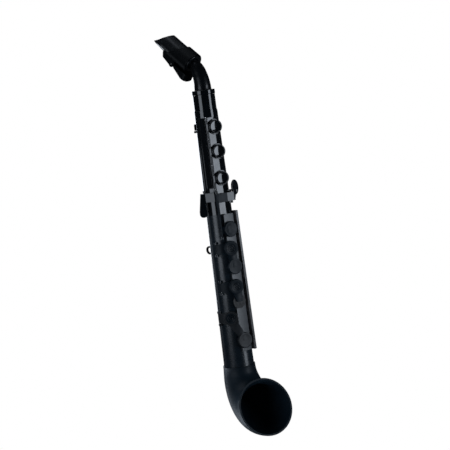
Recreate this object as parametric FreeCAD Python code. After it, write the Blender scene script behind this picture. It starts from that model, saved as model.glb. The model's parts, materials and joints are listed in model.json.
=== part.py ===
"""A compact plastic saxophone: curved neck, conical body with two key stacks, and a turned-up bell.

Frame, in millimetres: +Z runs up the body axis, the bell and the keys face -Y, the player is on +Y.
A "turn" is an angle in degrees round the body axis from -Y towards +X, which is the player's left.
Every piece on the body is drawn at turn 0, where "out" is -Y, and is then turned into place.
Keys that stand open at rest are drawn shut and then swung open about their hinge.
"""
import FreeCAD, Part
import math
import os

V = FreeCAD.Vector
UP = V(0, 0, 1)
OUT = V(0, -1, 0)

# Body cone
BODY_RADIUS = 21.6          # outside, at z = 0
BODY_TAPER = 0.0146         # loss of radius per millimetre of height
WALL = 3.4
BODY_TOP = 357.0
BODY_JOINT = 209.0
BODY_FOOT = -11.0
JOINT_DEPTH = 12.0
RUN = 0.05                  # radial clearance of a running fit
SEAT = 0.02                 # gap between seated faces
BACK_TURN = -160.0          # neck, strap ring and both thumb places

# Neck and its socket
SOCKET_RADIUS = 15.7
SOCKET_TOP = 379.0
COLLAR_TOP = 385.5
COLLAR_RADIUS = 16.3
PLUG_RADIUS = 11.0
PLUG_FOOT = 362.0
NECK_FOOT_RADIUS = 12.2
NECK_TIP_RADIUS = 8.2
NECK_WALL = 2.0
NECK_STRAIGHT_TOP = 390.8
NECK_BENDS = ((60.0, 22.0), (25.0, 50.0))   # bend radius, and the lean in degrees where it ends
NECK_SPIGOT = 30.0

# Mouthpiece, measured along its own axis from the open end of its shank
MOUTHPIECE_LENGTH = 76.0
MOUTHPIECE_RADIUS = 13.0
MOUTHPIECE_BORE = 8.7
BEAK_LENGTH = 22.0
TIP_HALF_WIDTH = 7.2
TABLE = 10.7                # the flat that carries the reed, from the axis
REED_THICK = 2.6
LIGATURE_RADIUS = 15.5
LEVER_PIVOT = (30.0, 18.6)  # along the axis, and below it
LEVER_PIN_R = 1.2
EAR_RADIUS = 4.4
EAR_GAP = 7.2               # half the space between the two ears
CLAMP_HALF_WIDTH = 9.6

# Bell
BELL_SLEEVE_RADIUS = 23.2
BELL_TENON_RADIUS = 20.6
BELL_TENON_LENGTH = 16.0
BELL_STRAIGHT_END = -17.9
BELL_BOW_RADIUS = 48.6
BELL_BOW_ANGLE = 110.0
BELL_MOUTH_RADIUS = 41.0
BELL_CONE = 14.6            # the even part of the growth in radius; the rest is lip flare
BELL_WALL = 2.4

# Key decks
DECK_HALF_WIDTH = 9.0
DECK_RISE = 0.8
DECK_FACET = 1.5            # where the upper deck's front facet ends
DECK_SLOPE = 24.0           # degrees by which the rest of that deck falls away
FLANK_TURN = -72.0          # the way the upper deck's flat side wall looks
FLANK_LENGTH = 11.0
FLANK_FOOT = 247.0
UPPER_DECK_TOP = 346.5
LOWER_DECK_FOOT = 11.0
LOWER_DECK_TURN = 14.0

# Keys: heights are measured out from the body cone
ROD_R = 1.0
HINGE_TUBE_R = 1.7
RIM_HEIGHT = 1.2
PAD_GAP = 0.03

LEFT_KEYS = (333.0, 298.2, 260.4)
LEFT_TURN = 3.5
LEFT_CUP_RADIUS = 9.8
LEFT_ROD_TURN = -31.5
LEFT_ROD_RADIUS = 20.8
LEFT_OPEN = 8.0
LEFT_POSTS = (345.2, 315.1, 278.2, 243.0)

# touch height, cup height, touch turn, touch radius, hinge turn, opening in degrees
RIGHT_KEYS = ((160.3, 133.9, -2.0, 10.9, -57.0, 4.2),
              (105.4, 83.4, -2.0, 10.9, -57.0, 4.2),
              (61.4, 27.4, -32.0, 10.4, -79.0, 3.2))
RIGHT_HINGE_HEIGHT = 3.6
CUP_TURN = 6.0
CUP_RADIUS = 11.4

GSHARP_Z = 187.0
GSHARP_TURN = 9.5
GSHARP_ROD_TURN = -28.5
GSHARP_ROD_RADIUS = 22.7
GSHARP_SLEEVE_R = 2.3
LEVER_Z = 232.7
LEVER_TURN = 40.0
LEVER_RADIUS = 21.2
LEVER_TILT = 14.0           # the oval touch looks this much more to the player's left

BFLAT_Z = 234.9
BFLAT_HINGE_TURN = -80.0
BFLAT_HINGE_RADIUS = 21.4
BFLAT_PAD_TURN = -59.0
BFLAT_PLATE_TURN = -50.0

OCTAVE_PIN_Z = 328.0
OCTAVE_PAD_Z = 335.2
OCTAVE_PIN_R = 0.8
OCTAVE_TUBE_R = 1.45
OCTAVE_HEIGHT = 1.9
STRAP_Z = 156.4
STRAP_EYE_R = 6.1
STRAP_HOLE_R = 4.0
THUMB_Z = 110.0
THUMB_TURN = 172.0


def body_radius(z):
    return BODY_RADIUS - BODY_TAPER * z


def spot(radius, turn, z=0.0):
    angle = math.radians(turn)
    return V(radius * math.sin(angle), -radius * math.cos(angle), z)


def turned(shape, turn):
    shape = shape.copy()
    shape.rotate(V(0, 0, 0), UP, turn)
    return shape


def swung(shape, pivot, axis, degrees):
    shape = shape.copy()
    shape.rotate(pivot, axis, degrees)
    return shape


def fused(shapes):
    solid = shapes[0]
    for shape in shapes[1:]:
        solid = solid.fuse(shape)
    return solid.removeSplitter()


def cone(z_low, z_high, r_low, r_high):
    if abs(r_low - r_high) < 1e-9:
        return Part.makeCylinder(r_low, z_high - z_low, V(0, 0, z_low))
    return Part.makeCone(r_low, r_high, z_high - z_low, V(0, 0, z_low))


def body_cone(z_low, z_high, out=0.0):
    return cone(z_low, z_high, body_radius(z_low) + out, body_radius(z_high) + out)


def block(x, y, z):
    """A box from three (low, high) pairs."""
    return Part.makeBox(x[1] - x[0], y[1] - y[0], z[1] - z[0], V(x[0], y[0], z[0]))


def prism(points, height):
    """A straight prism: points are the closed outline, height the vector it is pushed along."""
    wire = Part.makePolygon(list(points) + [points[0]])
    return Part.Face(wire).extrude(height)


def softened(shape, radius, chosen):
    """Round the edges that chosen(edge) picks."""
    edges = [edge for edge in shape.Edges if chosen(edge)]
    return shape.makeFillet(radius, edges)


def disc(radius, z, low, high, base=None):
    """A disc on the body at turn 0, between two heights above the body cone."""
    base = body_radius(z) if base is None else base
    return Part.makeCylinder(radius, high - low, V(0, -(base + low), z), OUT)


def rounded_disc(radius, z, low, high, rounding):
    solid = disc(radius, z, low, high)
    face_y = -(body_radius(z) + high)
    return softened(solid, rounding, lambda edge: abs(edge.CenterOfMass.y - face_y) < 1e-6)


def dish(radius, depth, z, height):
    """The ball that hollows a finger dish of this radius and depth into a face at this height."""
    ball = (radius ** 2 + depth ** 2) / (2 * depth)
    return Part.makeSphere(ball, V(0, -(body_radius(z) + height - depth + ball), z))


def shell_patch(outline, inner, outer, z):
    """The piece of a round shell seen through an outline of (x, z) points, at turn 0."""
    base = body_radius(z)
    low = min(point[1] for point in outline) - 1
    high = max(point[1] for point in outline) + 1
    ring = cone(low, high, base + outer, base + outer).cut(cone(low, high, base + inner, base + inner))
    window = prism([V(x, 0, height) for x, height in outline], V(0, -60, 0))
    return ring.common(window)


def lug(axis, z_low, z_high, width=4.4, pin_r=ROD_R):
    """A post standing on the body that carries a rod along Z at the point axis."""
    reach = math.hypot(axis.x, axis.y)
    turn = math.degrees(math.atan2(axis.x, -axis.y))
    foot = body_radius(z_low) - 1.5
    stem = block((-width / 2, width / 2), (-reach, -foot), (z_low, z_high))
    head = Part.makeCylinder(width / 2, z_high - z_low, V(0, -reach, z_low))
    hole = Part.makeCylinder(pin_r + SEAT, z_high - z_low, V(0, -reach, z_low))
    return turned(stem.fuse(head).cut(hole), turn)


def rod_along_z(axis, z_low, z_high, radius=ROD_R):
    return Part.makeCylinder(radius, z_high - z_low, V(axis.x, axis.y, z_low))


def hinge_bore(axis, z_low, z_high):
    return rod_along_z(axis, z_low - 1, z_high + 1, ROD_R + RUN)


def seal_ring(radius, z, wire=0.42):
    """A round seal whose outside just stays inside the given radius."""
    return Part.makeTorus(radius - wire - 0.03, wire, V(0, 0, z))


def seal_groove(radius, z, depth=0.95, width=1.6):
    """The ring-shaped cut that holds seal_ring."""
    outer = cone(z - width / 2, z + width / 2, radius + 1, radius + 1)
    return outer.cut(cone(z - width / 2, z + width / 2, radius - depth, radius - depth))


# ---------------------------------------------------------------- places of the hinges

LEFT_ROD = spot(LEFT_ROD_RADIUS, LEFT_ROD_TURN)
GSHARP_ROD = spot(GSHARP_ROD_RADIUS, GSHARP_ROD_TURN)
LEVER_PIVOT_POINT = spot(LEVER_RADIUS, LEVER_TURN)
BFLAT_PIVOT = spot(BFLAT_HINGE_RADIUS, BFLAT_HINGE_TURN)
LEFT_TUBES = tuple((low + 1.7, high - 1.7) for high, low in zip(LEFT_POSTS, LEFT_POSTS[1:]))
GSHARP_TUBE = (177.0, 239.0)
LEVER_TUBE = (226.2, 239.0)
BFLAT_TUBE = (216.5, 241.5)


def right_pivot(z, hinge_turn):
    return spot(body_radius(z) + RIGHT_HINGE_HEIGHT, hinge_turn)


def cup_places():
    """Height and turn of every pad cup on the lower body."""
    return [(GSHARP_Z, GSHARP_TURN)] + [(key[1], CUP_TURN) for key in RIGHT_KEYS]


# ---------------------------------------------------------------- body

def tone_hole(z, turn, radius):
    depth = WALL + 4
    return turned(disc(radius, z, -depth, 8), turn)


def upper_lugs():
    """Every post on the upper body that carries a hinge rod along Z."""
    lugs = [lug(LEFT_ROD, z - 1.5, z + 1.5) for z in LEFT_POSTS]
    lugs.append(lug(GSHARP_ROD, GSHARP_TUBE[1] + 0.2, GSHARP_TUBE[1] + 3.2))
    for axis, (low, high) in ((LEVER_PIVOT_POINT, LEVER_TUBE), (BFLAT_PIVOT, BFLAT_TUBE)):
        lugs.append(lug(axis, low - 3.2, low - 0.2))
        lugs.append(lug(axis, high + 0.2, high + 3.2))
    return lugs


def upper_body():
    outer = body_cone(BODY_JOINT, BODY_TOP)
    tenon_r = body_radius(BODY_JOINT) - WALL / 2
    outer = outer.fuse(cone(BODY_JOINT - JOINT_DEPTH, BODY_JOINT, tenon_r, tenon_r))
    for post in upper_lugs():
        outer = outer.fuse(post)
    outer = outer.fuse(turned(disc(3.6, BFLAT_Z, -1, RIM_HEIGHT), BFLAT_PAD_TURN))
    outer = outer.fuse(turned(octave_mounting(), BACK_TURN))
    bore = body_cone(BODY_JOINT - JOINT_DEPTH, BODY_TOP, -WALL)
    counterbore = cone(BODY_TOP - 8, BODY_TOP, 13.2, 13.2)
    outer = outer.cut(bore).cut(counterbore).cut(seal_groove(tenon_r, BODY_JOINT - 6))
    for z in LEFT_KEYS:
        outer = outer.cut(tone_hole(z, LEFT_TURN, 3.8))
    outer = outer.cut(tone_hole(BFLAT_Z, BFLAT_PAD_TURN, 2.2)).cut(tone_hole(OCTAVE_PAD_Z, BACK_TURN, 1.2))
    outer = outer.cut(rod_along_z(LEFT_ROD, LEFT_POSTS[-1] - 1.5, LEFT_POSTS[0] + 1.5, ROD_R + SEAT))
    outer = outer.cut(rod_along_z(GSHARP_ROD, GSHARP_TUBE[1], GSHARP_TUBE[1] + 3.2, ROD_R + SEAT))
    return outer.removeSplitter()


def body_seal():
    return seal_ring(body_radius(BODY_JOINT) - WALL / 2, BODY_JOINT - 6, 0.38)


def lower_body():
    tenon_foot = BODY_FOOT - BELL_TENON_LENGTH
    outer = body_cone(BODY_FOOT, BODY_JOINT)
    outer = outer.fuse(cone(tenon_foot, BODY_FOOT, BELL_TENON_RADIUS, BELL_TENON_RADIUS))
    outer = outer.fuse(lug(GSHARP_ROD, GSHARP_TUBE[0] - 3.2, GSHARP_TUBE[0] - 0.2))
    for z, cup_z, touch_turn, touch_radius, hinge_turn, opening in RIGHT_KEYS:
        for low in (z - 10.4, z + 7.4):
            outer = outer.fuse(lug(right_pivot(z, hinge_turn), low, low + 3))
    bore_foot = BELL_TENON_RADIUS - 2.6
    bore = body_cone(BODY_FOOT, BODY_JOINT, -WALL).fuse(
        cone(tenon_foot, BODY_FOOT, bore_foot, body_radius(BODY_FOOT) - WALL))
    socket_r = body_radius(BODY_JOINT) - WALL / 2 + SEAT
    socket = cone(BODY_JOINT - JOINT_DEPTH - 0.1, BODY_JOINT, socket_r, socket_r)
    outer = outer.cut(bore).cut(socket).cut(seal_groove(BELL_TENON_RADIUS, BODY_FOOT - 8))
    for z, turn in cup_places():
        outer = outer.cut(tone_hole(z, turn, 6.0))
    for hole in thumb_screw_holes():
        outer = outer.cut(hole)
    return outer.removeSplitter()


def bell_seal():
    return seal_ring(BELL_TENON_RADIUS, BODY_FOOT - 8)


def bell_sections(shrink):
    """Circles along the bell's centre line: straight down, then bowed forward and up."""
    wires = []
    for z in (BODY_FOOT - 0.1, BELL_STRAIGHT_END + 4):
        wires.append((V(0, 0, z), V(0, 0, -1), BELL_SLEEVE_RADIUS))
    steps = 12
    for step in range(1, steps + 1):
        share = step / steps
        angle = math.radians(BELL_BOW_ANGLE * share)
        centre = V(0, -BELL_BOW_RADIUS * (1 - math.cos(angle)),
                   BELL_STRAIGHT_END - BELL_BOW_RADIUS * math.sin(angle))
        heading = V(0, -math.sin(angle), -math.cos(angle))
        flare = BELL_CONE * share + (BELL_MOUTH_RADIUS - BELL_SLEEVE_RADIUS - BELL_CONE) * share ** 4
        wires.append((centre, heading, BELL_SLEEVE_RADIUS + flare))
    return [Part.Wire(Part.Circle(at, way, radius - shrink).toShape()) for at, way, radius in wires]


def bell():
    outside = Part.makeLoft(bell_sections(0.0), True, False)
    inside = Part.makeLoft(bell_sections(BELL_WALL), True, False)
    foot = BODY_FOOT - BELL_TENON_LENGTH - 0.4
    thick_neck = cone(foot, BODY_FOOT, BELL_SLEEVE_RADIUS + 5, BELL_SLEEVE_RADIUS + 5)
    shell = outside.cut(inside.cut(thick_neck))
    return shell.cut(cone(foot, BODY_FOOT, BELL_TENON_RADIUS + RUN, BELL_TENON_RADIUS + RUN))


def deck(z_low, z_high, half_width):
    """A flat-topped plate along the cone, slightly crowned, at turn 0."""
    wires = []
    for z in (z_low, z_high):
        face = body_radius(z) + DECK_RISE
        foot = body_radius(z) - 4.5
        corners = [V(-half_width, -foot, z), V(-half_width, -face + 0.25, z),
                   V(half_width, -face + 0.25, z), V(half_width, -foot, z)]
        crown = Part.Arc(corners[1], V(0, -face - 0.25, z), corners[2]).toShape()
        sides = [Part.makeLine(corners[0], corners[1]), crown, Part.makeLine(corners[2], corners[3]),
                 Part.makeLine(corners[3], corners[0])]
        wires.append(Part.Wire(sides))
    return Part.makeLoft(wires, True, True)


def two_way_deck(z_low, z_high):
    """The upper deck's plate: a flat facet on the hinge side and a sloped one beyond it."""
    wires = []
    fall = (DECK_HALF_WIDTH - DECK_FACET) * math.tan(math.radians(DECK_SLOPE))
    for z in (z_low, z_high):
        face = body_radius(z) + DECK_RISE
        foot = body_radius(z) - 4.5
        corners = [V(-DECK_HALF_WIDTH, -foot, z), V(-DECK_HALF_WIDTH, -face, z), V(DECK_FACET, -face, z),
                   V(DECK_HALF_WIDTH, fall - face, z), V(DECK_HALF_WIDTH, -foot, z)]
        wires.append(Part.makePolygon(corners + corners[:1]))
    return Part.makeLoft(wires, True, True)


def side_wall(z_low, z_high):
    """The flat wall that leaves the body on the hinge side and runs up to the hinge rod."""
    wires = []
    along = V(math.cos(math.radians(FLANK_TURN)), math.sin(math.radians(FLANK_TURN)), 0)
    for z in (z_low, z_high):
        radius = body_radius(z)
        start = spot(radius, FLANK_TURN, z)
        corners = [start - along * 0.5, start + along * FLANK_LENGTH, V(-8, 1.5 - radius, z), V(-8, 6 - radius, z)]
        wires.append(Part.makePolygon(corners + corners[:1]))
    return Part.makeLoft(wires, True, True)


def upper_key_deck():
    low = BODY_JOINT + 0.6
    solid = two_way_deck(low, UPPER_DECK_TOP).fuse(side_wall(FLANK_FOOT, UPPER_DECK_TOP))
    for z in LEFT_KEYS:
        solid = solid.fuse(turned(rounded_disc(11.0, z, -5, 1.9, 0.5), LEFT_TURN))
    for z in LEFT_KEYS:
        solid = solid.cut(turned(disc(7.8, z, 0.5, 5), LEFT_TURN))
        solid = solid.fuse(turned(disc(5.5, z, -3, RIM_HEIGHT), LEFT_TURN)).cut(tone_hole(z, LEFT_TURN, 3.8))
    solid = solid.cut(body_cone(low - 5, UPPER_DECK_TOP + 5))
    solid = solid.cut(rod_along_z(LEFT_ROD, low - 5, UPPER_DECK_TOP + 5, HINGE_TUBE_R + 0.6))
    solid = solid.cut(rod_along_z(GSHARP_ROD, low - 5, LEFT_POSTS[-1], GSHARP_SLEEVE_R + 0.5))
    for taken in upper_lugs() + left_springs(0.35):
        solid = solid.cut(taken)
    return solid.removeSplitter()


def lower_key_deck():
    solid = turned(deck(LOWER_DECK_FOOT, BODY_JOINT - 0.4, DECK_HALF_WIDTH), LOWER_DECK_TURN)
    for z, turn in cup_places():
        well = disc(10.8, z, 0.5, 8).cut(disc(8.0, z, 0, RIM_HEIGHT))
        rim = disc(8.0, z, -3, RIM_HEIGHT)
        solid = solid.cut(turned(well, turn)).fuse(turned(rim, turn)).cut(tone_hole(z, turn, 6.0))
    solid = solid.cut(body_cone(LOWER_DECK_FOOT - 5, BODY_JOINT + 5))
    return solid.removeSplitter()


def key_guard():
    """The rail along the player's-left edge of the lower deck."""
    wires = []
    for z in (LOWER_DECK_FOOT - 0.3, BODY_JOINT + 2.2):
        radius = body_radius(z)
        outline = [V(11.6, -(radius - 6), z), V(11.6, -(radius + 3.4), z), V(12.2, -(radius + 3.8), z),
                   V(15.8, -(radius + 3.4), z), V(16.9, -(radius + 2.2), z), V(16.9, -(radius - 11), z)]
        wires.append(Part.makePolygon(outline + outline[:1]))
    rail = Part.makeLoft(wires, True, True).cut(body_cone(0, BODY_JOINT + 5, SEAT))
    return turned(rail, LOWER_DECK_TURN)


def strap_ring():
    base = body_radius(STRAP_Z)
    foot = shell_patch([(-4.5, STRAP_Z - 8), (4.5, STRAP_Z - 8), (4.5, STRAP_Z + 8), (-4.5, STRAP_Z + 8)],
                       -1, 1.8, STRAP_Z)
    eye_y = -(base + 8.6)
    eye = Part.makeCylinder(STRAP_EYE_R, 3.2, V(-1.6, eye_y, STRAP_Z), V(1, 0, 0))
    eye = softened(eye, 0.7, lambda edge: edge.Curve.TypeId == "Part::GeomCircle")
    stem = block((-1.6, 1.6), (eye_y, -base), (STRAP_Z - 3.4, STRAP_Z + 3.4))
    hole = Part.makeCylinder(STRAP_HOLE_R, 8, V(-4, eye_y, STRAP_Z), V(1, 0, 0))
    solid = fused([foot, stem, eye]).cut(hole).cut(body_cone(STRAP_Z - 12, STRAP_Z + 12, SEAT))
    return turned(solid, BACK_TURN)


def thumb_screw_places():
    return (THUMB_Z - 8, THUMB_Z + 3)


def thumb_screw_holes():
    return [turned(disc(1.25, z, -2.4, 6), THUMB_TURN) for z in thumb_screw_places()]


def thumb_hook():
    base = body_radius(THUMB_Z)
    low, high = THUMB_Z - 12, THUMB_Z + 12
    foot = shell_patch([(-6, low), (6, low), (6, high), (-6, high)], -1, 2.2, THUMB_Z)
    shelf_z = THUMB_Z + 9
    shelf = block((-6, 6), (-(base + 17), -(base + 1)), (shelf_z, shelf_z + 2.8))
    lip = block((-6, 6), (-(base + 17), -(base + 14.6)), (shelf_z - 6, shelf_z + 2.8))
    hook = shelf.fuse(lip).removeSplitter()
    hook = softened(hook, 1.2, lambda edge: abs(edge.CenterOfMass.y + base + 17) < 1e-6)
    solid = fused([foot, hook]).cut(body_cone(low - 2, high + 2, SEAT))
    for z in thumb_screw_places():
        solid = solid.cut(disc(1.25, z, -2, 8))
    return turned(solid, THUMB_TURN)


def thumb_hook_screws():
    screws = []
    for z in thumb_screw_places():
        head = rounded_disc(2.4, z, 2.3, 3.7, 0.6).cut(block((-0.3, 0.3), (-40, -(body_radius(z) + 3.2)),
                                                            (z - 3, z + 3)))
        screws.append(turned(head.fuse(disc(1.2, z, -2.2, 2.4)).removeSplitter(), THUMB_TURN))
    return Part.makeCompound(screws)


# ---------------------------------------------------------------- neck

def neck_stations():
    """Points along the neck as (back, z, lean in degrees, share of the way)."""
    stations = [(0.0, COLLAR_TOP, 0.0), (0.0, NECK_STRAIGHT_TOP, 0.0)]
    back, z, lean = stations[-1]
    for radius, end_lean in NECK_BENDS:
        steps = 5
        step = (end_lean - lean) / steps
        for _ in range(steps):
            start, end = math.radians(lean), math.radians(lean + step)
            back += radius * (math.cos(start) - math.cos(end))
            z += radius * (math.sin(end) - math.sin(start))
            lean += step
            stations.append((back, z, lean))
    return stations


NECK_END = neck_stations()[-1]


def neck_loft(shrink):
    stations = neck_stations()
    length = len(stations) - 1
    wires = []
    for index, (back, z, lean) in enumerate(stations):
        share = index / length
        radius = NECK_FOOT_RADIUS + (NECK_TIP_RADIUS - NECK_FOOT_RADIUS) * share - shrink
        way = V(0, math.sin(math.radians(lean)), math.cos(math.radians(lean)))
        wires.append(Part.Wire(Part.Circle(V(0, back, z), way, radius).toShape()))
    return Part.makeLoft(wires, True, False)


def at_neck_end(shape):
    """Carry a piece drawn along +Z, with its underside on +Y, to the neck's end."""
    back, z, lean = NECK_END
    shape = shape.copy()
    shape.rotate(V(0, 0, 0), V(1, 0, 0), -lean)
    shape.translate(V(0, back, z))
    return turned(shape, BACK_TURN - 180)


def neck_tube():
    spigot = cone(0, NECK_SPIGOT, NECK_TIP_RADIUS, NECK_TIP_RADIUS)
    spigot_bore = cone(-1, NECK_SPIGOT + 1, NECK_TIP_RADIUS - NECK_WALL, NECK_TIP_RADIUS - NECK_WALL)
    straight = cone(SOCKET_TOP, COLLAR_TOP, NECK_FOOT_RADIUS, NECK_FOOT_RADIUS)
    plug = cone(PLUG_FOOT, SOCKET_TOP, PLUG_RADIUS, PLUG_RADIUS)
    plug_bore = cone(PLUG_FOOT, COLLAR_TOP, NECK_FOOT_RADIUS - NECK_WALL - 1, NECK_FOOT_RADIUS - NECK_WALL)
    lower = turned(neck_loft(0).fuse(straight).fuse(plug), BACK_TURN - 180)
    hollow = turned(neck_loft(NECK_WALL).fuse(plug_bore), BACK_TURN - 180)
    solid = lower.fuse(at_neck_end(spigot)).cut(hollow).cut(at_neck_end(spigot_bore))
    return solid.cut(seal_groove(PLUG_RADIUS, 370)).removeSplitter()


def neck_sleeve():
    outer = MOUTHPIECE_BORE - RUN
    ring = cone(3, NECK_SPIGOT - 1, outer, outer)
    return at_neck_end(ring.cut(cone(3, NECK_SPIGOT - 1, NECK_TIP_RADIUS + SEAT, NECK_TIP_RADIUS + SEAT)))


def neck_collar():
    ring = cone(SOCKET_TOP + RUN, COLLAR_TOP, COLLAR_RADIUS, COLLAR_RADIUS)
    ring = softened(ring, 0.9, lambda edge: edge.Curve.TypeId == "Part::GeomCircle")
    return ring.cut(cone(SOCKET_TOP - 1, COLLAR_TOP + 1, NECK_FOOT_RADIUS + SEAT, NECK_FOOT_RADIUS + SEAT))


def neck_seal():
    return seal_ring(PLUG_RADIUS, 370)


def neck_socket():
    outer = cone(BODY_TOP, SOCKET_TOP, SOCKET_RADIUS, SOCKET_RADIUS)
    spigot = cone(BODY_TOP - 8, BODY_TOP, 13.2 - SEAT, 13.2 - SEAT)
    bore = cone(PLUG_FOOT - 0.5, SOCKET_TOP, PLUG_RADIUS + RUN, PLUG_RADIUS + RUN)
    throat = cone(BODY_TOP - 8, PLUG_FOOT - 0.5, body_radius(BODY_TOP) - WALL, PLUG_RADIUS - 1.5)
    return outer.fuse(spigot).cut(bore).cut(throat).removeSplitter()


# ---------------------------------------------------------------- mouthpiece group, drawn along +Z

def beak_profile():
    """Side view of the mouthpiece in (y, z), with the curved beak on -Y and the reed's table on +Y."""
    start = MOUTHPIECE_LENGTH - BEAK_LENGTH
    shoulder = V(0, -MOUTHPIECE_RADIUS - 1, start)
    tip_top = V(0, TABLE - 1.7, MOUTHPIECE_LENGTH)
    bulge = (shoulder + tip_top) * 0.5 + V(0, 0.7, -0.7)
    curve = Part.Arc(shoulder, bulge, tip_top).toShape()
    corners = [tip_top, V(0, TABLE, MOUTHPIECE_LENGTH), V(0, TABLE, 18), V(0, MOUTHPIECE_RADIUS + 1, 18),
               V(0, MOUTHPIECE_RADIUS + 1, 0), V(0, -MOUTHPIECE_RADIUS - 1, 0), shoulder]
    edges = [curve] + [Part.makeLine(a, b) for a, b in zip(corners, corners[1:])]
    face = Part.Face(Part.Wire(edges))
    return face.extrude(V(40, 0, 0)), V(-20, 0, 0)


def mouthpiece():
    barrel = cone(0, MOUTHPIECE_LENGTH, MOUTHPIECE_RADIUS, MOUTHPIECE_RADIUS)
    barrel = softened(barrel, 1.0, lambda edge: abs(edge.CenterOfMass.z) < 1e-6)
    side_view, shift = beak_profile()
    side_view.translate(shift)
    solid = barrel.common(side_view)
    start = MOUTHPIECE_LENGTH - BEAK_LENGTH
    for side in (-1, 1):
        cheek = prism([V(side * 14, -20, start + 2), V(side * 12.8, -20, start + 2),
                       V(side * TIP_HALF_WIDTH, -20, MOUTHPIECE_LENGTH + 1),
                       V(side * 14, -20, MOUTHPIECE_LENGTH + 1)], V(0, 40, 0))
        solid = solid.cut(cheek)
    facing = prism([V(-15, TABLE + 0.5, start), V(-15, TABLE, start), V(-15, TABLE - 1.0, MOUTHPIECE_LENGTH),
                    V(-15, TABLE + 0.5, MOUTHPIECE_LENGTH)], V(30, 0, 0))
    bore = cone(0, 34, MOUTHPIECE_BORE, MOUTHPIECE_BORE).fuse(cone(33, start + 2, 7.0, 5.6))
    window = prism([V(-5.2, TABLE + 1, start - 12), V(-5.2, 2.0, start - 12),
                    V(-5.2, TABLE - 2.2, start + 19.5), V(-5.2, TABLE + 1, start + 19.5)], V(10.4, 0, 0))
    return solid.cut(facing).cut(bore).cut(window).removeSplitter()


def reed():
    heel, tip = 19.0, MOUTHPIECE_LENGTH - 0.3
    low = TABLE + SEAT
    cut_start = 46.0
    side = prism([V(-9, low, heel), V(-9, low + REED_THICK, heel), V(-9, low + REED_THICK, cut_start),
                  V(-9, low + 0.3, tip), V(-9, low, tip)], V(18, 0, 0))
    plan = prism([V(-6.2, 0, heel), V(6.2, 0, heel), V(TIP_HALF_WIDTH - 0.2, 0, tip - 2),
                  V(TIP_HALF_WIDTH - 2.4, 0, tip), V(-TIP_HALF_WIDTH + 2.4, 0, tip),
                  V(-TIP_HALF_WIDTH + 0.2, 0, tip - 2)], V(0, 30, 0))
    return side.common(plan)


def reed_room():
    """The space the reed and its table need inside the ligature."""
    return block((-6.9, 6.9), (0, TABLE + REED_THICK + SEAT * 2), (0, 60))


def clamp_keel():
    """The deep keel under the band: its rear ends in the two ears that hold the lever's pin."""
    pivot_z, pivot_y = LEVER_PIVOT
    outline = [(8, pivot_z - EAR_RADIUS), (pivot_y, pivot_z - EAR_RADIUS), (pivot_y + EAR_RADIUS, pivot_z),
               (19.4, 49.5), (13.0, 52.8), (8, 52.8)]
    keel = prism([V(-CLAMP_HALF_WIDTH, y, z) for y, z in outline], V(2 * CLAMP_HALF_WIDTH, 0, 0))
    keel = softened(keel, 3.0, lambda edge: abs(edge.CenterOfMass.x) < 0.01 and edge.CenterOfMass.z > 49)
    keel = softened(keel, 1.4, lambda edge: abs(edge.CenterOfMass.x) > CLAMP_HALF_WIDTH - 0.01
                    and edge.CenterOfMass.z > pivot_z + 4 and edge.CenterOfMass.y > 14)
    nose = Part.makeCylinder(EAR_RADIUS, 2 * CLAMP_HALF_WIDTH, V(-CLAMP_HALF_WIDTH, pivot_y, pivot_z), V(1, 0, 0))
    between_ears = block((-EAR_GAP, EAR_GAP), (LIGATURE_RADIUS - 0.1, 40), (0, pivot_z + EAR_RADIUS + 0.4))
    return keel.fuse(nose).cut(between_ears)


def ligature_sleeve():
    rear, pivot_z, pivot_y = 1.2, LEVER_PIVOT[0], LEVER_PIVOT[1]
    ring = cone(rear, 50, LIGATURE_RADIUS, LIGATURE_RADIUS - 0.6)
    ring = softened(ring, 0.9, lambda edge: abs(edge.CenterOfMass.z - rear) < 1e-6)
    front = prism([V(-30, -LIGATURE_RADIUS - 1, 20.5), V(-30, LIGATURE_RADIUS, 50),
                   V(-30, LIGATURE_RADIUS, 70), V(-30, -LIGATURE_RADIUS - 1, 70)], V(60, 0, 0))
    inside = MOUTHPIECE_RADIUS + SEAT
    pin_hole = Part.makeCylinder(LEVER_PIN_R + SEAT, 40, V(-20, pivot_y, pivot_z), V(1, 0, 0))
    solid = ring.cut(front).fuse(clamp_keel()).cut(cone(0, 60, inside, inside)).cut(reed_room()).cut(pin_hole)
    return solid.removeSplitter()


def ligature_lever():
    """The swinging thumb lever under the shank: a hub between the ears and a rounded pad behind it."""
    pivot_z, pivot_y = LEVER_PIVOT
    reach = EAR_GAP - 0.2
    hub = Part.makeCylinder(3.0, 2 * reach, V(-reach, pivot_y, pivot_z), V(1, 0, 0))
    neck = block((-reach, reach), (pivot_y - 1.8, pivot_y + 2.8), (pivot_z - 8, pivot_z - 1))
    top, bottom, rear, front = 16.6, 28.4, -4.2, pivot_z - EAR_RADIUS - 1.2
    outline = [(top, rear), (bottom, rear), (bottom, 7.0), (bottom - 5.4, front), (top, front)]
    pad = prism([V(-CLAMP_HALF_WIDTH, y, z) for y, z in outline], V(2 * CLAMP_HALF_WIDTH, 0, 0))
    pad = softened(pad, 8.0, lambda edge: abs(edge.CenterOfMass.z - rear) < 0.01
                   and abs(abs(edge.CenterOfMass.x) - CLAMP_HALF_WIDTH) < 0.01)
    pad = softened(pad, 4.0, lambda edge: edge.BoundBox.YMin > bottom - 5.5 and edge.CenterOfMass.z < front - 1)
    solid = fused([pad, neck, hub])
    return solid.cut(Part.makeCylinder(LEVER_PIN_R + RUN, 20, V(-10, pivot_y, pivot_z), V(1, 0, 0)))


def ligature_pin():
    length = 2 * CLAMP_HALF_WIDTH - 0.4
    return Part.makeCylinder(LEVER_PIN_R, length, V(-length / 2, LEVER_PIVOT[1], LEVER_PIVOT[0]), V(1, 0, 0))


# ---------------------------------------------------------------- left-hand keys

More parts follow.
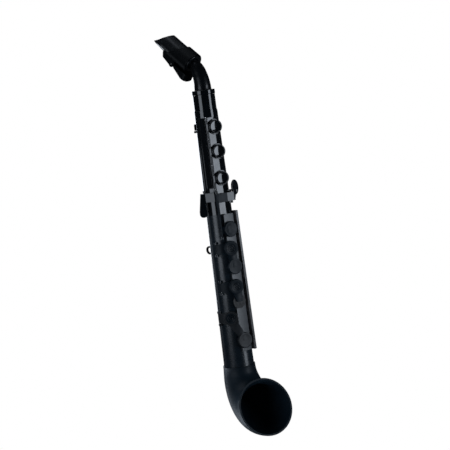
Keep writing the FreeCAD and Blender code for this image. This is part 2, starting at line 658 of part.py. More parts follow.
def left_open(shape):
    return swung(shape, LEFT_ROD, UP, -LEFT_OPEN)


def bridge(pivot, base, low, high, end_x, z_low, z_high):
    """An arm that rises from a hinge tube and then runs level towards end_x, between two heights."""
    side = 1 if end_x > pivot.x else -1
    outline = [V(pivot.x - side * 1.3, pivot.y, z_low), V(pivot.x - side * 1.3, -(base + low), z_low),
               V(pivot.x + side * 0.3, -(base + high), z_low), V(end_x, -(base + high), z_low),
               V(end_x, -(base + low), z_low), V(pivot.x + side * 0.8, -(base + low), z_low),
               V(pivot.x + side * 0.8, pivot.y, z_low)]
    return prism(outline, V(0, 0, z_high - z_low))


def left_key(z, tube):
    base = body_radius(z)
    cup = turned(rounded_disc(LEFT_CUP_RADIUS, z, 2.4, 4.7, 0.8), LEFT_TURN)
    arm = bridge(LEFT_ROD, base, 2.9, 4.5, -5.0, z - 4.5, z + 4.5)
    barrel = rod_along_z(LEFT_ROD, tube[0], tube[1], HINGE_TUBE_R)
    solid = fused([barrel, arm, cup]).cut(hinge_bore(LEFT_ROD, *tube)).cut(shut_left_pad(z))
    return left_open(solid.cut(turned(disc(LEFT_CUP_RADIUS - 1.5, z, 4.0, 9), LEFT_TURN)))


def shut_left_pad(z):
    return turned(disc(6.8, z, RIM_HEIGHT + PAD_GAP, 2.4), LEFT_TURN)


def left_pad(z):
    return left_open(shut_left_pad(z))


def left_cap(z):
    radius = LEFT_CUP_RADIUS - 1.5 - SEAT
    cap = rounded_disc(radius, z, 4.0, 5.4, 0.35)
    return left_open(turned(cap.cut(dish(radius - 0.6, 0.8, z, 5.4)), LEFT_TURN))


def left_hinge_rod():
    return rod_along_z(LEFT_ROD, LEFT_POSTS[-1] - 1.4, LEFT_POSTS[0] + 2.1)


# ---------------------------------------------------------------- right-hand keys

def round_x(radius, turn, middle):
    """The x of a point at this turn, seen with the middle turn facing out."""
    return radius * math.sin(math.radians(turn - middle))


def right_key(z, cup_z, touch_turn, touch_radius, hinge_turn, opening):
    """Hinge tube, curved arm, finger touch, link and pad cup in one piece, drawn shut."""
    pivot = right_pivot(z, hinge_turn)
    reach = body_radius(z) + 4.2
    middle = (touch_turn + hinge_turn) / 2
    left, right = round_x(reach, hinge_turn, middle), round_x(reach, touch_turn, middle)
    wide = touch_radius * 0.86
    arm = shell_patch([(left, z - 6.6), (right, z - wide), (right, z + wide), (left, z + 6.6)], 3.3, 5.0, z)
    touch = turned(rounded_disc(touch_radius, z, 3.2, 6.0, 1.1), touch_turn)
    barrel = rod_along_z(pivot, z - 7, z + 7, HINGE_TUBE_R)
    halfway = (touch_turn + CUP_TURN) / 2
    start, end = round_x(reach, touch_turn, halfway), round_x(reach, CUP_TURN, halfway)
    link = shell_patch([(start - 8.0, z - 4), (end - 4.6, cup_z), (end + 4.6, cup_z), (start + 8.0, z - 4)],
                       3.3, 5.0, (z + cup_z) / 2)
    cup = turned(pad_cup(cup_z), CUP_TURN)
    solid = fused([turned(arm, middle), barrel, touch, turned(link, halfway), cup])
    solid = solid.cut(hinge_bore(pivot, z - 7, z + 7))
    solid = solid.cut(turned(disc(touch_radius - 3.0, z, 5.0, 9), touch_turn)).cut(shut_right_pad(cup_z))
    return swung(solid, pivot, UP, -opening)


def pad_cup(z):
    cup = rounded_disc(CUP_RADIUS, z, 2.2, 4.9, 1.3)
    return cup.cut(dish(CUP_RADIUS - 2.2, 0.5, z, 4.9))


def shut_right_pad(cup_z):
    return turned(disc(9.8, cup_z, RIM_HEIGHT + PAD_GAP, 2.2), CUP_TURN)


def right_pad(z, cup_z, hinge_turn, opening):
    return swung(shut_right_pad(cup_z), right_pivot(z, hinge_turn), UP, -opening)


def right_cap(z, touch_turn, touch_radius, hinge_turn, opening):
    inner = touch_radius - 3.0 - SEAT
    cap = rounded_disc(inner, z, 5.0, 5.9, 0.3).cut(dish(inner - 0.8, 0.6, z, 5.9))
    return swung(turned(cap, touch_turn), right_pivot(z, hinge_turn), UP, -opening)


def right_hinge_pins():
    return Part.makeCompound([rod_along_z(right_pivot(key[0], key[4]), key[0] - 10.3, key[0] + 10.3)
                              for key in RIGHT_KEYS])


# ---------------------------------------------------------------- little-finger lever and its cup

def gsharp_cup():
    base = body_radius(GSHARP_Z)
    middle = (GSHARP_TURN + GSHARP_ROD_TURN) / 2
    reach = base + 4.2
    left, right = round_x(reach, GSHARP_ROD_TURN, middle), round_x(reach, GSHARP_TURN, middle)
    arm = shell_patch([(left, GSHARP_Z - 5), (right, GSHARP_Z - 5), (right, GSHARP_Z + 5), (left, GSHARP_Z + 5)],
                      3.3, 5.0, GSHARP_Z)
    tail = bridge(GSHARP_ROD, body_radius(LEVER_Z), 4.35, 6.1, 4.0, LEVER_Z - 6.3, LEVER_Z + 6.3)
    barrel = rod_along_z(GSHARP_ROD, *GSHARP_TUBE, HINGE_TUBE_R)
    sleeve = rod_along_z(GSHARP_ROD, GSHARP_TUBE[1] - 18, GSHARP_TUBE[1], GSHARP_SLEEVE_R)
    cup = turned(pad_cup(GSHARP_Z), GSHARP_TURN)
    solid = fused([barrel, sleeve, tail, turned(arm, middle), cup])
    return solid.cut(hinge_bore(GSHARP_ROD, *GSHARP_TUBE)).cut(gsharp_pad())


def gsharp_pad():
    return turned(disc(9.8, GSHARP_Z, RIM_HEIGHT + PAD_GAP, 2.2), GSHARP_TURN)


def gsharp_rod():
    return rod_along_z(GSHARP_ROD, GSHARP_TUBE[0] - 3.1, GSHARP_TUBE[1] + 3.1)


def gsharp_lever():
    base = body_radius(LEVER_Z)
    tube = LEVER_TUBE
    arm = bridge(LEVER_PIVOT_POINT, base, 2.3, 4.15, 1.6, tube[0] + 0.3, tube[1] - 0.3)
    low, high = tube[0] + 0.3, tube[1] - 0.3
    shoulder = prism([V(13.0, -(base + 4.15), low), V(15.6, -(base + 4.15), low), V(18.4, -(base + 2.0), low),
                      V(18.4, -(base - 0.3), low), V(13.0, -(base + 0.4), low)], V(0, 0, high - low))
    stem = prism([V(15.2, -(base + 1.7), low + 0.4), V(18.0, -(base + 1.7), low + 0.4),
                  V(23.4, -(base + 1.7), high + 2), V(15.2, -(base + 1.7), high + 2)], V(0, 1.7, 0))
    paddle = upright_oval(V(20.2, 0, LEVER_Z + 11.8), 6.2, 10.6, -(base + 2.0), -(base - 0.3))
    paddle = swung(paddle, V(20.2, -(base + 0.8), 0), UP, LEVER_TILT)
    barrel = rod_along_z(LEVER_PIVOT_POINT, *tube, HINGE_TUBE_R)
    solid = fused([barrel, arm, shoulder, stem]).cut(hinge_bore(LEVER_PIVOT_POINT, *tube))
    post_room = rod_along_z(LEVER_PIVOT_POINT, tube[1], tube[1] + 4, 2.6)
    return solid.fuse(paddle).cut(post_room)


def upright_oval(centre, half_width, half_height, y_out, y_in):
    """An oval plate that faces -Y, taller than it is wide."""
    oval = Part.Ellipse(V(0, 0, 0), half_height, half_width).toShape()
    face = Part.Face(Part.Wire(oval))
    face.rotate(V(0, 0, 0), V(0, 0, 1), 90)
    face.rotate(V(0, 0, 0), V(1, 0, 0), 90)
    face.translate(V(centre.x, y_out, centre.z))
    plate = face.extrude(V(0, y_in - y_out, 0))
    return softened(plate, 0.7, lambda edge: abs(edge.CenterOfMass.y - y_out) < 1e-6)


def gsharp_lever_pin():
    return rod_along_z(LEVER_PIVOT_POINT, LEVER_TUBE[0] - 3.1, LEVER_TUBE[1] + 3.1)


# ---------------------------------------------------------------- side key

def bflat_key():
    """A flat plate over the pad, the hinge tube beside it and the paddle that hangs from the tube."""
    reach = body_radius(BFLAT_Z)
    hinge_x = round_x(BFLAT_HINGE_RADIUS, BFLAT_HINGE_TURN, BFLAT_PLATE_TURN)
    hinge_y = -BFLAT_HINGE_RADIUS * math.cos(math.radians(BFLAT_HINGE_TURN - BFLAT_PLATE_TURN))
    heights = (BFLAT_Z - 6.4, BFLAT_Z + 6.2)
    plate = block((hinge_x - 0.9, 5.5), (-(reach + 4.3), -(reach + 2.6)), heights)
    leg = block((hinge_x - 0.9, hinge_x + 0.9), (-(reach + 4.3), hinge_y), heights)
    plate = turned(fused([plate, leg]), BFLAT_PLATE_TURN)
    barrel = rod_along_z(BFLAT_PIVOT, *BFLAT_TUBE, HINGE_TUBE_R)
    foot, top = BFLAT_TUBE[0] - 9.0, BFLAT_TUBE[1] - 0.3
    wing = prism([V(-1.4, -1.1, foot), V(9.8, -1.1, foot), V(9.8, -1.1, foot + 8.5), V(5.6, -1.1, top),
                  V(-1.4, -1.1, top)], V(0, 2.2, 0))
    wing = softened(wing, 4.9, lambda edge: abs(edge.CenterOfMass.z - foot) < 0.01
                    and abs(edge.CenterOfMass.y) < 0.01)
    wing = softened(wing, 0.6, lambda edge: edge.CenterOfMass.y > 1.09)
    web = block((-1.2, 1.2), (-1.4, 4.2), (BFLAT_TUBE[0] + 0.4, BFLAT_TUBE[1] - 0.4))
    wing.translate(V(0, 3.7, 0))
    flag = wing.fuse(web)
    flag.rotate(V(0, 0, 0), UP, 148)
    flag.translate(BFLAT_PIVOT)
    return fused([barrel, plate, flag]).cut(hinge_bore(BFLAT_PIVOT, *BFLAT_TUBE))


def bflat_pad():
    return turned(disc(4.2, BFLAT_Z, RIM_HEIGHT + PAD_GAP, 2.9), BFLAT_PAD_TURN).cut(bflat_key())


def bflat_pin():
    return rod_along_z(BFLAT_PIVOT, BFLAT_TUBE[0] - 3.1, BFLAT_TUBE[1] + 3.1)


# ---------------------------------------------------------------- octave key, drawn at turn 0

def octave_pin_y():
    return -(body_radius(OCTAVE_PIN_Z) + OCTAVE_HEIGHT)


def octave_cylinder(radius, half_length):
    return Part.makeCylinder(radius, 2 * half_length, V(-half_length, octave_pin_y(), OCTAVE_PIN_Z), V(1, 0, 0))


def octave_mounting():
    """Two lugs for the octave pin and the raised rim of the vent."""
    y = octave_pin_y()
    vent = disc(3.4, OCTAVE_PAD_Z, -1, 0.7)
    heads = octave_cylinder(1.5, 8.6)
    stems = block((-8.6, 8.6), (y, -10), (OCTAVE_PIN_Z - 1.5, OCTAVE_PIN_Z + 1.5))
    between = block((-6.1, 6.1), (-40, 0), (OCTAVE_PIN_Z - 4, OCTAVE_PIN_Z + 4))
    lugs = fused([heads, stems]).cut(between).cut(octave_cylinder(OCTAVE_PIN_R + SEAT, 10))
    return vent.fuse(lugs)


def octave_key():
    base = body_radius(OCTAVE_PIN_Z)
    head = shell_patch([(-5.7, 326.5), (5.7, 326.5), (5.7, 330.2), (9.2, 330.2), (9.2, 337), (7.5, 339),
                        (-7.5, 339), (-9.2, 337), (-9.2, 330.2), (-5.7, 330.2)], 1.9, 3.5, OCTAVE_PIN_Z)
    thumb = shell_patch([(-5.4, 327.4), (-5.4, 326), (-7.1, 323), (-7.1, 312), (-5.8, 307), (-0.6, 307), (0.7, 312),
                         (0.2, 327.4)],
                        2.4, 4.2, OCTAVE_PIN_Z)
    root = block((-5.6, -0.2), (-(base + 3.6), -(base + 2.4)), (326.6, 328.4))
    solid = fused([octave_cylinder(OCTAVE_TUBE_R, 5.7), root, head, thumb])
    return turned(solid.cut(octave_cylinder(OCTAVE_PIN_R + RUN, 8)), BACK_TURN)


def octave_pad():
    return turned(disc(3.0, OCTAVE_PAD_Z, 0.7 + PAD_GAP, 2.4), BACK_TURN).cut(octave_key())


def octave_pin():
    return turned(octave_cylinder(OCTAVE_PIN_R, 8.5), BACK_TURN)


# ---------------------------------------------------------------- springs

def left_springs(radius):
    """The left-hand keys' springs, or with a larger radius the room they need."""
    places = [spot(body_radius(low) + 0.7, LEFT_ROD_TURN - 6, low - 0.2) for low, _ in LEFT_TUBES]
    return [Part.makeCylinder(radius, 12, place) for place in places]


def key_springs():
    """Needle springs that lie between the body and each key's hinge tube, one end against a post."""
    wires = []
    for key in RIGHT_KEYS:
        place = spot(body_radius(key[0]) + 0.9, key[4] + 5)
        wires.append(Part.makeCylinder(0.3, 12, V(place.x, place.y, key[0] - 4.6)))
    wires.extend(left_springs(0.3))
    return Part.makeCompound(wires)


# ---------------------------------------------------------------- all nodes

def all_nodes():
    nodes = {
        "mouthpiece": at_neck_end(mouthpiece()),
        "reed": at_neck_end(reed()),
        "ligature_sleeve": at_neck_end(ligature_sleeve()),
        "ligature_lever": at_neck_end(ligature_lever()),
        "ligature_pin": at_neck_end(ligature_pin()),
        "neck_tube": neck_tube(),
        "neck_sleeve": neck_sleeve(),
        "neck_collar": neck_collar(),
        "neck_seal": neck_seal(),
        "neck_socket": neck_socket(),
        "upper_body": upper_body(),
        "body_seal": body_seal(),
        "lower_body": lower_body(),
        "bell": bell(),
        "bell_seal": bell_seal(),
        "upper_key_deck": upper_key_deck(),
        "lower_key_deck": lower_key_deck(),
        "key_guard": key_guard(),
        "strap_ring": strap_ring(),
        "thumb_hook": thumb_hook(),
        "thumb_hook_screws": thumb_hook_screws(),
        "left_hinge_rod": left_hinge_rod(),
        "right_hinge_pins": right_hinge_pins(),
        "gsharp_cup": gsharp_cup(),
        "gsharp_pad": gsharp_pad(),
        "gsharp_rod": gsharp_rod(),
        "gsharp_lever": gsharp_lever(),
        "gsharp_lever_pin": gsharp_lever_pin(),
        "bflat_key": bflat_key(),
        "bflat_pad": bflat_pad(),
        "bflat_pin": bflat_pin(),
        "octave_key": octave_key(),
        "octave_pad": octave_pad(),
        "octave_pin": octave_pin(),
        "key_springs": key_springs(),
    }
    for number, (z, tube) in enumerate(zip(LEFT_KEYS, LEFT_TUBES), 1):
        nodes["left_key_%d" % number] = left_key(z, tube)
        nodes["left_pad_%d" % number] = left_pad(z)
        nodes["left_cap_%d" % number] = left_cap(z)
    for number, (z, cup_z, touch_turn, touch_radius, hinge_turn, opening) in enumerate(RIGHT_KEYS, 1):
        nodes["right_key_%d" % number] = right_key(z, cup_z, touch_turn, touch_radius, hinge_turn, opening)
        nodes["right_pad_%d" % number] = right_pad(z, cup_z, hinge_turn, opening)
        nodes["right_cap_%d" % number] = right_cap(z, touch_turn, touch_radius, hinge_turn, opening)
    return nodes


os.makedirs("parts", exist_ok=True)
for node, shape in all_nodes().items():
    shape.exportStep("parts/" + node + ".step")
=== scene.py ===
"""Studio picture of a compact plastic saxophone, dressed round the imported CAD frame."""
import json
import math

import bpy
import numpy
from mathutils import Matrix, Vector
from mathutils.bvhtree import BVHTree


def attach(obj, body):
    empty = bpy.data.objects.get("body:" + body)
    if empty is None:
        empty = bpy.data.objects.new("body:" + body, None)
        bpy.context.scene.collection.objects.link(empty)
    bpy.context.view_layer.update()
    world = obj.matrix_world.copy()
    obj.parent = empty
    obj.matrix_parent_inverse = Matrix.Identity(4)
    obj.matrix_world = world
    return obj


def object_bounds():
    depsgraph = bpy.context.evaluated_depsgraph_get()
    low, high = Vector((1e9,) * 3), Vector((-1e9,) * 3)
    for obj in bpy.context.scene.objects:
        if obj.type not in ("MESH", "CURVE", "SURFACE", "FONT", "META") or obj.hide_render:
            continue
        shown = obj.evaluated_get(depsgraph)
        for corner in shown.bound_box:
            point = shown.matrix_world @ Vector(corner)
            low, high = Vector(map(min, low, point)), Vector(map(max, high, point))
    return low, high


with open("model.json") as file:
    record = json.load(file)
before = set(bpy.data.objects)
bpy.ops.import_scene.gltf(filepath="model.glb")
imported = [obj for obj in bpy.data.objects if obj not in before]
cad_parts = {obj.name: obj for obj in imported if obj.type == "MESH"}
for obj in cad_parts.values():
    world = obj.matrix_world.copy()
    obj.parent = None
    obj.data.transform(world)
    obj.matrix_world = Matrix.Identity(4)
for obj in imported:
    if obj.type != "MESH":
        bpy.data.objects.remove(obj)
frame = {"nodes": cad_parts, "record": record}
cad_low, cad_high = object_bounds()

# ---------------------------------------------------------------- studio values (metres, degrees)
CAMERA_PLACE = Vector((-0.8172, -1.6038, 0.380))
CAMERA_AZIMUTH = 27.19          # to the right of +Y
CAMERA_PITCH = 5.97             # below the horizon
CAMERA_ROLL = 0.130             # sine of the roll: the row's up axis leans left
CAMERA_LENS = 101.57            # mm
CAMERA_SENSOR = 36.0            # mm
CAMERA_CLIP = (0.05, 50.0)
FLOOR_SIZE = 6.0
FLOOR_GAP = 0.0005              # between the bell's lowest point and the floor
FLOOR_TONE = (0.8, 0.8, 0.8, 1.0)
LAMP_TINT = (0.87, 0.96, 1.08)  # daylight softboxes lean to blue
AMBIENT_TONE = (0.9, 0.96, 1.08, 1.0)
AMBIENT_STRENGTH = 0.03
WHITE = (1.0, 1.0, 1.0, 1.0)
# Softboxes that reach only these nodes.
FLAGGED = {"side_fill": ("lower_key_deck", "key_guard"), "low_fill": ("bell", "reed")}

# (name, azimuth from -Y, height of the centre, distance, width, height, radiance)
SOFTBOXES = (
    ("key_strip", -72.0, 0.265, 1.6, 0.89, 0.73, 3.5),
    ("front_strip", 34.2, 0.11, 1.8, 0.69, 1.02, 6.2),
    ("side_fill", 58.0, 0.29, 1.8, 0.80, 0.68, 4.4),
    ("low_fill", -138.0, -0.62, 1.2, 1.2, 0.7, 6.0),
    ("rim_strip", -148.0, 0.00, 1.6, 0.60, 0.5, 0.5),
    ("back_strip", 165.0, 0.30, 1.8, 0.70, 1.1, 3.0),
    ("top_panel", -150.0, 1.50, 0.7, 1.50, 1.5, 1.2),
)


# ---------------------------------------------------------------- node helpers
class Graph:
    """A material's node tree with short calls for the few nodes used here."""

    def __init__(self, name):
        self.material = bpy.data.materials.new(name)
        self.material.use_nodes = True
        self.tree = self.material.node_tree
        self.tree.nodes.clear()
        coordinates = self.tree.nodes.new("ShaderNodeTexCoord")
        self.place = coordinates.outputs["Object"]

    def node(self, kind, settings=None, **inputs):
        made = self.tree.nodes.new(kind)
        for key, value in (settings or {}).items():
            setattr(made, key, value)
        for key, value in inputs.items():
            socket = made.inputs[key.replace("_", " ")]
            self.feed(socket, value)
        return made

    def feed(self, socket, value):
        if isinstance(value, bpy.types.NodeSocket):
            self.tree.links.new(value, socket)
        else:
            socket.default_value = value

    def noise(self, scale, detail=3.0, stretch=(1.0, 1.0, 1.0), shift=0.0):
        mapping = self.node("ShaderNodeMapping", Vector=self.place)
        mapping.inputs["Scale"].default_value = stretch
        mapping.inputs["Location"].default_value = (shift, shift * 0.7, -shift)
        made = self.node("ShaderNodeTexNoise", Vector=mapping.outputs[0],
                         Scale=scale, Detail=detail)
        return made.outputs["Fac"]

    def pebble(self, scale):
        made = self.node("ShaderNodeTexVoronoi", {"feature": "SMOOTH_F1"},
                         Vector=self.place, Scale=scale, Smoothness=0.6)
        return made.outputs["Distance"]

    def spread(self, value, low, high, start=0.3, end=0.7):
        made = self.node("ShaderNodeMapRange")
        for socket, given in zip(made.inputs, (value, start, end, low, high)):
            self.feed(socket, given)
        return made.outputs[0]

    def math(self, operation, a, b=0.0):
        made = self.node("ShaderNodeMath", {"operation": operation})
        self.feed(made.inputs[0], a)
        self.feed(made.inputs[1], b)
        return made.outputs[0]

    def blend(self, share, a, b):
        made = self.node("ShaderNodeMix", {"data_type": "RGBA"})
        self.feed(made.inputs[0], share)
        self.feed(made.inputs[6], a)
        self.feed(made.inputs[7], b)
        return made.outputs[2]

    def edges(self, radius):
        """(rounded normal, 0..1 mask of the sharp edges)."""
        bevel = self.node("ShaderNodeBevel", {"samples": 6}, Radius=radius)
        plain = self.node("ShaderNodeNewGeometry")
        dot = self.node("ShaderNodeVectorMath", {"operation": "DOT_PRODUCT"})
        self.feed(dot.inputs[0], bevel.outputs[0])
        self.feed(dot.inputs[1], plain.outputs["Normal"])
        mask = self.spread(dot.outputs["Value"], 1.0, 0.0, 0.80, 0.99)
        return bevel.outputs[0], mask

    def bump(self, height, depth, normal=None):
        made = self.node("ShaderNodeBump", Height=height, Strength=1.0, Distance=depth)
        if normal is not None:
            self.feed(made.inputs["Normal"], normal)
        return made.outputs[0]

    def finish(self, shader):
        output = self.node("ShaderNodeOutputMaterial")
        self.tree.links.new(shader, output.inputs["Surface"])
        return self.material


def shade(value, tint=(1.0, 1.0, 1.0)):
    return tuple(value * part for part in tint) + (1.0,)


COOL = (0.45, 1.00, 1.55)       # the blue-black of the dyed plastic
SILICONE_TINT = (1.0, 1.0, 1.05)
PLASTIC_IOR = 1.5


def moulded(name, tone, rough, ripple, grain, tint=COOL, radius=0.00025, specular=0.5):
    """Injection moulded plastic: slow colour drift, smudged gloss, fine scratches, worn edges.

    tone is the base reflectance, rough its (smooth, smudged) roughness, ripple the depth of the
    slow surface wave, grain the (cells per metre, depth) of the fine one, radius the edge rounding.
    """
    g = Graph(name)
    drift = g.noise(45.0, 4.0)
    smudge = g.noise(130.0, 5.0, shift=3.1)
    scratch = g.noise(900.0, 2.0, stretch=(1.0, 1.0, 0.06), shift=1.7)
    dust = g.noise(2600.0, 1.0, shift=5.3)
    normal, edge = g.edges(radius)
    colour = g.blend(g.spread(drift, 0.0, 1.0), shade(tone * 0.8, tint), shade(tone * 1.25, tint))
    wear = g.math("MULTIPLY", edge, g.spread(smudge, 0.25, 1.0))
    colour = g.blend(wear, colour, shade(tone * 1.6 + 0.002, tint))
    speck = g.spread(dust, 0.0, 0.3, 0.76, 0.82)
    colour = g.blend(speck, colour, shade(tone * 2.0 + 0.004, tint))
    low, high = rough
    gloss = g.spread(smudge, low, high)
    gloss = g.math("ADD", gloss, g.spread(scratch, 0.0, (high - low) * 0.8, 0.55, 0.75))
    gloss = g.math("ADD", gloss, g.math("MULTIPLY", wear, 0.12))
    wave = g.bump(g.noise(28.0, 2.0, shift=7.9), ripple, normal)
    fine = g.bump(g.noise(grain[0], 3.0, shift=2.2), grain[1], wave)
    surface = g.node("ShaderNodeBsdfPrincipled", Base_Color=colour, Roughness=gloss,
                     IOR=PLASTIC_IOR, Normal=fine)
    surface.inputs["Specular IOR Level"].default_value = specular
    return g.finish(surface.outputs[0])


def rubber(name, tone, cells, depth):
    """Silicone pad or seal: matte, with a soft pebbled skin and a little lint."""
    g = Graph(name)
    tint = SILICONE_TINT
    drift = g.noise(160.0, 4.0)
    colour = g.blend(g.spread(drift, 0.0, 1.0), shade(tone * 0.7, tint), shade(tone * 1.3, tint))
    lint = g.spread(g.noise(1900.0, 2.0, stretch=(1.0, 0.2, 1.0)), 0.0, 0.6, 0.70, 0.78)
    colour = g.blend(lint, colour, shade(tone * 3.0, tint))
    gloss = g.spread(g.noise(420.0, 3.0, shift=4.4), 0.55, 0.78)
    normal = g.bump(g.pebble(cells), depth)
    surface = g.node("ShaderNodeBsdfPrincipled", Base_Color=colour, Roughness=gloss,
                     Normal=normal)
    surface.inputs["Sheen Weight"].default_value = 0.15
    return g.finish(surface.outputs[0])


def steel(name):
    """Turned steel: fine rings of brushing, a few dull spots."""
    g = Graph(name)
    brushed = g.noise(2400.0, 2.0, stretch=(0.1, 0.1, 1.0))
    stain = g.noise(220.0, 4.0, shift=6.0)
    colour = g.blend(g.spread(stain, 0.0, 1.0), shade(0.50), shade(0.68, (1.0, 0.99, 0.97)))
    gloss = g.math("ADD", g.spread(brushed, 0.14, 0.30), g.spread(stain, 0.0, 0.08))
    normal = g.bump(brushed, 0.00001)
    surface = g.node("ShaderNodeBsdfPrincipled", Base_Color=colour, Roughness=gloss,
                     Metallic=1.0, Normal=normal)
    return g.finish(surface.outputs[0])


def reed_plastic(name):
    """Translucent synthetic reed: long fibres along the blank, satin skin."""
    g = Graph(name)
    fibre = g.noise(700.0, 3.0, stretch=(1.0, 0.07, 0.25))
    cloud = g.noise(90.0, 3.0, shift=9.0)
    colour = g.blend(g.spread(fibre, 0.0, 1.0), shade(0.62, (1.0, 0.98, 0.92)),
                     shade(0.86, (1.0, 0.99, 0.95)))
    gloss = g.math("ADD", g.spread(fibre, 0.26, 0.42), g.spread(cloud, 0.0, 0.06))
    normal = g.bump(fibre, 0.00002)
    surface = g.node("ShaderNodeBsdfPrincipled", Base_Color=colour, Roughness=gloss,
                     Normal=normal)
    surface.inputs["Transmission Weight"].default_value = 0.25
    surface.inputs["Subsurface Weight"].default_value = 0.2
    surface.inputs["Subsurface Radius"].default_value = (1.0, 1.0, 1.0)
    surface.inputs["Subsurface Scale"].default_value = 0.002
    return g.finish(surface.outputs[0])


# ---------------------------------------------------------------- materials on the CAD nodes
MATERIALS = {
    "gloss_black": moulded("gloss_black_plastic", 0.0022, (0.06, 0.12), 0.00002, (500.0, 0.0000010),
                           specular=0.42),
    "satin_black": moulded("satin_black_plastic", 0.0085, (0.22, 0.27), 0.00001, (900.0, 0.0000010)),
    "key_black": moulded("key_black_plastic", 0.0024, (0.17, 0.25), 0.00003, (900.0, 0.0000020)),
    "soft_black": moulded("soft_touch_plastic", 0.0090, (0.42, 0.50), 0.00003, (1500.0, 0.000006),
                          specular=0.13),
    "pad_rubber": rubber("pad_silicone", 0.012, 2600.0, 0.00003),
    "seal_rubber": rubber("seal_silicone", 0.010, 3200.0, 0.00002),
    "reed_plastic": reed_plastic("reed_synthetic"),
    "bright_steel": steel("turned_steel"),
}
# Plastic parts whose finish differs from the rest of their slot; the key guard's and the third
# right-hand key's lighter tones are painted light, not a different plastic.
BEAK = moulded("beak_plastic", 0.0022, (0.26, 0.33), 0.00003, (700.0, 0.0000012), specular=0.45)
CLAMP = moulded("clamp_plastic", 0.0014, (0.36, 0.44), 0.00002, (1000.0, 0.000002), specular=0.13)
NECK = moulded("neck_plastic", 0.0020, (0.24, 0.31), 0.00004, (700.0, 0.0000015), specular=0.32)
LOWER = moulded("lower_body_plastic", 0.0085, (0.25, 0.30), 0.00001, (900.0, 0.0000010),
                specular=0.42)
PLATE = moulded("deck_plate_plastic", 0.0022, (0.13, 0.19), 0.00002, (900.0, 0.0000015))
GRAINED = moulded("grained_deck_plastic", 0.0060, (0.36, 0.44), 0.00003, (1400.0, 0.000005),
                  radius=0.0005)
# Key guard: base tone raised far above the other black parts and made neutral grey, a painted
# highlight for the light its top and edges catch.
RAIL_PAINTED_HIGHLIGHT = moulded("rail_painted_highlight_plastic", 0.0400, (0.24, 0.30), 0.00001, (1200.0, 0.0000010),
               tint=(1.04, 1.0, 1.02), radius=0.0008)
TOUCH = moulded("matte_touch_plastic", 0.0070, (0.34, 0.44), 0.00002, (1600.0, 0.000003),
                specular=0.13)
# Third right-hand key: base tone raised and tinted bluer than the other keys, a painted sheen for the
# lit grey look of its broad arm.
ARM_PAINTED_SHEEN = moulded("lever_arm_painted_sheen_plastic", 0.0120, (0.38, 0.46), 0.00002, (1400.0, 0.000003),
              tint=(0.86, 1.0, 1.15), specular=0.22)
LEVER = moulded("lever_plastic", 0.0028, (0.13, 0.18), 0.00001, (1200.0, 0.0000010), specular=0.35)
CAP = moulded("dished_cap_plastic", 0.0016, (0.06, 0.10), 0.00001, (900.0, 0.0000005))
FINISH = {
    "mouthpiece": BEAK,
    "ligature_sleeve": CLAMP,
    "ligature_lever": CLAMP,
    "neck_sleeve": CLAMP,
    "neck_tube": NECK,
    "lower_body": LOWER,
    "upper_key_deck": PLATE,
    "lower_key_deck": GRAINED,
    "key_guard": RAIL_PAINTED_HIGHLIGHT,
    "gsharp_cup": TOUCH,
    "gsharp_lever": LEVER,
    "bflat_key": LEVER,
    "right_key_1": TOUCH,
    "right_key_2": TOUCH,
    "right_key_3": ARM_PAINTED_SHEEN,
}
FINGERS = (1, 2, 3)
for finger in FINGERS:
    FINISH["left_cap_%d" % finger] = CAP
    FINISH["right_cap_%d" % finger] = TOUCH


def dress_nodes():
    """Each CAD node gets its own finish, or the one of its material slot."""
    for row in frame["record"]["subparts"]:
        mesh = frame["nodes"][row["node"]].data
        mesh.materials.clear()
        mesh.materials.append(FINISH.get(row["node"], MATERIALS[row["material_slot"]]))


# ---------------------------------------------------------------- rings moulded on the touches
RING_WIRE = 0.00045
RING_RADII = (0.0018, 0.0046)
RING_STEPS = 48
RING_SMOOTHNESS = 3
RAY_START = 0.01                # above the touch, where the search for its surface begins


def disc_frame(mesh):
    """(centre, outward normal, two directions in the plane) of a round cap."""
    points = numpy.array([vertex.co for vertex in mesh.vertices])
    centre = (points.min(axis=0) + points.max(axis=0)) / 2
    _, directions = numpy.linalg.eigh(numpy.cov((points - centre).T))
    normal = Vector(directions[:, 0])
    if normal.y > 0:
        normal = -normal
    across = normal.cross(Vector((0.0, 0.0, 1.0))).normalized()
    return Vector(centre), normal, across, across.cross(normal)


def ring_line(curve, radius, skin, disc):
    """One closed line of this radius, dropped on to the touch's surface."""
    centre, normal, across, upward = disc
    line = curve.splines.new("POLY")
    line.use_cyclic_u = True
    line.points.add(RING_STEPS - 1)
    for step, point in enumerate(line.points):
        turn = 2 * math.pi * step / RING_STEPS
        place = centre + (across * math.cos(turn) + upward * math.sin(turn)) * radius
        hit = skin.ray_cast(place + normal * RAY_START, -normal)[0]
        point.co = (*hit, 1.0)


def touch_rings():
    """Two fine raised rings in the dish of each right-hand touch, laid on its surface."""
    for finger in FINGERS:
        mesh = frame["nodes"]["right_cap_%d" % finger].data
        skin = BVHTree.FromPolygons([vertex.co for vertex in mesh.vertices],
                                    [face.vertices for face in mesh.polygons])
        curve = bpy.data.curves.new("touch_rings_%d" % finger, "CURVE")
        curve.dimensions = "3D"
        curve.bevel_depth = RING_WIRE
        curve.bevel_resolution = RING_SMOOTHNESS
        for radius in RING_RADII:
            ring_line(curve, radius, skin, disc_frame(mesh))
        curve.materials.append(LEVER)
        piece = bpy.data.objects.new(curve.name, curve)
        bpy.context.scene.collection.objects.link(piece)
        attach(piece, "right_%d" % finger)


# ---------------------------------------------------------------- studio
def outward(azimuth):
    turn = math.radians(azimuth)
    return Vector((math.sin(turn), -math.cos(turn), 0.0))


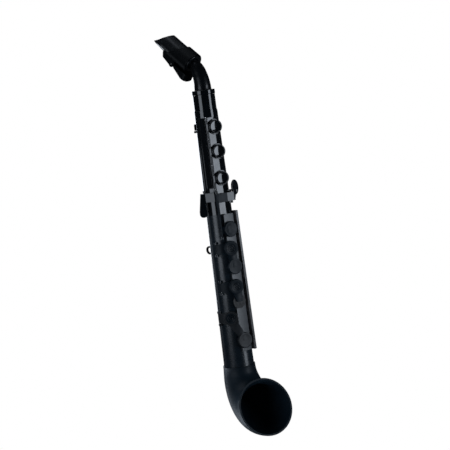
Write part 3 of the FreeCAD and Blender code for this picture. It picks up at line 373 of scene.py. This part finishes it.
def aim_lamp(lamp, height):
    """Level with the object the lamp looks straight in, from above or below at its middle."""
    beside = cad_low.z < height < cad_high.z
    target = Vector((0.0, 0.0, height if beside else (cad_low.z + cad_high.z) / 2))
    lamp.rotation_mode = "QUATERNION"
    lamp.rotation_quaternion = (target - lamp.location).to_track_quat("-Z", "Y")


def limit_lamp(lamp, nodes):
    receivers = bpy.data.collections.new(lamp.name + "_receivers")
    for node in nodes:
        receivers.objects.link(frame["nodes"][node])
    lamp.light_linking.receiver_collection = receivers


def make_softboxes():
    for name, azimuth, height, distance, width, tall, radiance in SOFTBOXES:
        light = bpy.data.lights.new(name, "AREA")
        light.shape = "RECTANGLE"
        light.size, light.size_y = width, tall
        light.energy = radiance * width * tall * math.pi
        light.color = LAMP_TINT
        lamp = bpy.data.objects.new(name, light)
        lamp.location = outward(azimuth) * distance + Vector((0.0, 0.0, height))
        aim_lamp(lamp, height)
        lamp.visible_camera = False
        if name in FLAGGED:
            limit_lamp(lamp, FLAGGED[name])
        bpy.context.scene.collection.objects.link(lamp)


def white_for_camera(tree, plain, bright):
    """A shader that is white where the camera sees it and plain for every other ray."""
    path = tree.nodes.new("ShaderNodeLightPath")
    mix = tree.nodes.new("ShaderNodeMixShader")
    tree.links.new(path.outputs["Is Camera Ray"], mix.inputs[0])
    tree.links.new(plain.outputs[0], mix.inputs[1])
    tree.links.new(bright.outputs[0], mix.inputs[2])
    return mix.outputs[0]


def make_world():
    world = bpy.data.worlds.new("studio")
    world.use_nodes = True
    tree = world.node_tree
    tree.nodes.clear()
    output = tree.nodes.new("ShaderNodeOutputWorld")
    dim = tree.nodes.new("ShaderNodeBackground")
    dim.inputs["Color"].default_value = AMBIENT_TONE
    dim.inputs["Strength"].default_value = AMBIENT_STRENGTH
    bright = tree.nodes.new("ShaderNodeBackground")
    bright.inputs["Color"].default_value = WHITE
    tree.links.new(white_for_camera(tree, dim, bright), output.inputs["Surface"])
    bpy.context.scene.world = world


def floor_material():
    material = bpy.data.materials.new("pale_floor")
    material.use_nodes = True
    tree = material.node_tree
    tree.nodes.clear()
    output = tree.nodes.new("ShaderNodeOutputMaterial")
    pale = tree.nodes.new("ShaderNodeBsdfDiffuse")
    pale.inputs["Color"].default_value = FLOOR_TONE
    bright = tree.nodes.new("ShaderNodeEmission")
    tree.links.new(white_for_camera(tree, pale, bright), output.inputs["Surface"])
    return material


def make_floor():
    half = FLOOR_SIZE / 2
    level = cad_low.z - FLOOR_GAP
    mesh = bpy.data.meshes.new("floor")
    corners = [(-half, -half, level), (half, -half, level), (half, half, level), (-half, half, level)]
    mesh.from_pydata(corners, [], [(0, 1, 2, 3)])
    mesh.materials.append(floor_material())
    floor = bpy.data.objects.new("floor", mesh)
    floor.visible_glossy = False
    floor.visible_shadow = False
    bpy.context.scene.collection.objects.link(floor)


def make_camera():
    turn, pitch = math.radians(CAMERA_AZIMUTH), math.radians(CAMERA_PITCH)
    forward = Vector((math.sin(turn) * math.cos(pitch), math.cos(turn) * math.cos(pitch),
                      -math.sin(pitch)))
    level = Vector((math.cos(turn), -math.sin(turn), 0.0))
    above = level.cross(forward)
    straight = math.sqrt(1.0 - CAMERA_ROLL ** 2)
    right = level * straight - above * CAMERA_ROLL
    up = level * CAMERA_ROLL + above * straight
    data = bpy.data.cameras.new("camera")
    data.lens = CAMERA_LENS
    data.sensor_width = CAMERA_SENSOR
    data.clip_start, data.clip_end = CAMERA_CLIP
    camera = bpy.data.objects.new("camera", data)
    camera.matrix_world = Matrix((
        (right.x, up.x, -forward.x, CAMERA_PLACE.x),
        (right.y, up.y, -forward.y, CAMERA_PLACE.y),
        (right.z, up.z, -forward.z, CAMERA_PLACE.z),
        (0.0, 0.0, 0.0, 1.0),
    ))
    bpy.context.scene.collection.objects.link(camera)
    bpy.context.scene.camera = camera


dress_nodes()
touch_rings()
make_softboxes()
make_world()
make_floor()
make_camera()
bpy.context.scene.view_settings.view_transform = "Standard"
